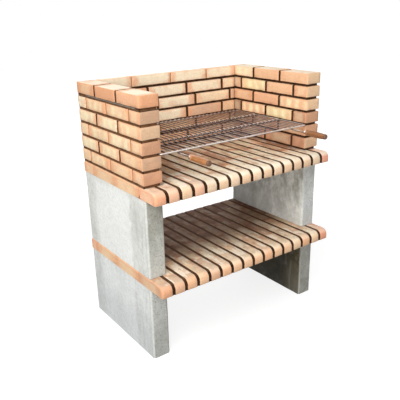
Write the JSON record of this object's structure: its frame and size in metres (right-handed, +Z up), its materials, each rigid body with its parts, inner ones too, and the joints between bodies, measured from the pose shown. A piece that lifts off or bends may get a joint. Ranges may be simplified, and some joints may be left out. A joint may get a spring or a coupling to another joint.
{
  "type": "prefabricated barbecue",
  "caption": "Floor-standing masonry barbecue: brick shelf and hearth on concrete legs, a U of raked brick walls and a pull-out grill with wooden handles.",
  "frame": {"origin": "on the ground, in the middle of the whole object's width and depth", "axes": "+Z up, +Y to the back, +X to the right as seen from the front"},
  "size_m": [1, 0.7656, 1.1749],
  "materials": {
    "concrete": "smooth cast concrete, light grey, fine pores",
    "brick": "matt fired brick, cream to salmon, flamed edges",
    "mortar": "rough dark brown mortar, raked",
    "steel": "bright plated wire and bar",
    "wood": "turned, varnished orange-brown, darker end"
  },
  "bodies": {
    "masonry": {"lower_leg_left": "concrete", "lower_leg_right": "concrete", "shelf_row_01": "brick", "shelf_row_02": "brick", "shelf_row_03": "brick", "shelf_row_04": "brick", "shelf_row_05": "brick", "shelf_row_06": "brick", "shelf_row_07": "brick", "shelf_row_08": "brick", "shelf_row_09": "brick", "shelf_row_10": "brick", "shelf_row_11": "brick", "shelf_row_12": "brick", "shelf_row_13": "brick", "shelf_row_14": "brick", "shelf_row_15": "brick", "shelf_row_16": "brick", "upper_leg_left": "concrete", "upper_leg_right": "concrete", "hearth_row_01": "brick", "hearth_row_02": "brick", "hearth_row_03": "brick", "hearth_row_04": "brick", "hearth_row_05": "brick", "hearth_row_06": "brick", "hearth_row_07": "brick", "hearth_row_08": "brick", "hearth_row_09": "brick", "hearth_row_10": "brick", "hearth_row_11": "brick", "hearth_row_12": "brick", "hearth_row_13": "brick", "hearth_row_14": "brick", "hearth_row_15": "brick", "hearth_row_16": "brick", "firebox_mortar": "mortar", "left_wing_course_1": "brick", "left_wing_course_2": "brick", "left_wing_course_3": "brick", "left_wing_course_4": "brick", "left_wing_course_5": "brick", "left_wing_course_6": "brick", "right_wing_course_1": "brick", "right_wing_course_2": "brick", "right_wing_course_3": "brick", "right_wing_course_4": "brick", "right_wing_course_5": "brick", "right_wing_course_6": "brick", "back_wall_course_1": "brick", "back_wall_course_2": "brick", "back_wall_course_3": "brick", "back_wall_course_4": "brick", "back_wall_course_5": "brick", "back_wall_course_6": "brick"},
    "grill": {"grill_grid": "steel", "handle_stem_left": "steel", "handle_grip_left": "wood", "handle_stem_right": "steel", "handle_grip_right": "wood"}
  },
  "joints": [
    {"name": "grill_slide", "type": "slide", "parent": "masonry", "child": "grill", "axis": [0, -1, 0], "range_m": [0, 0.535]}
  ]
}
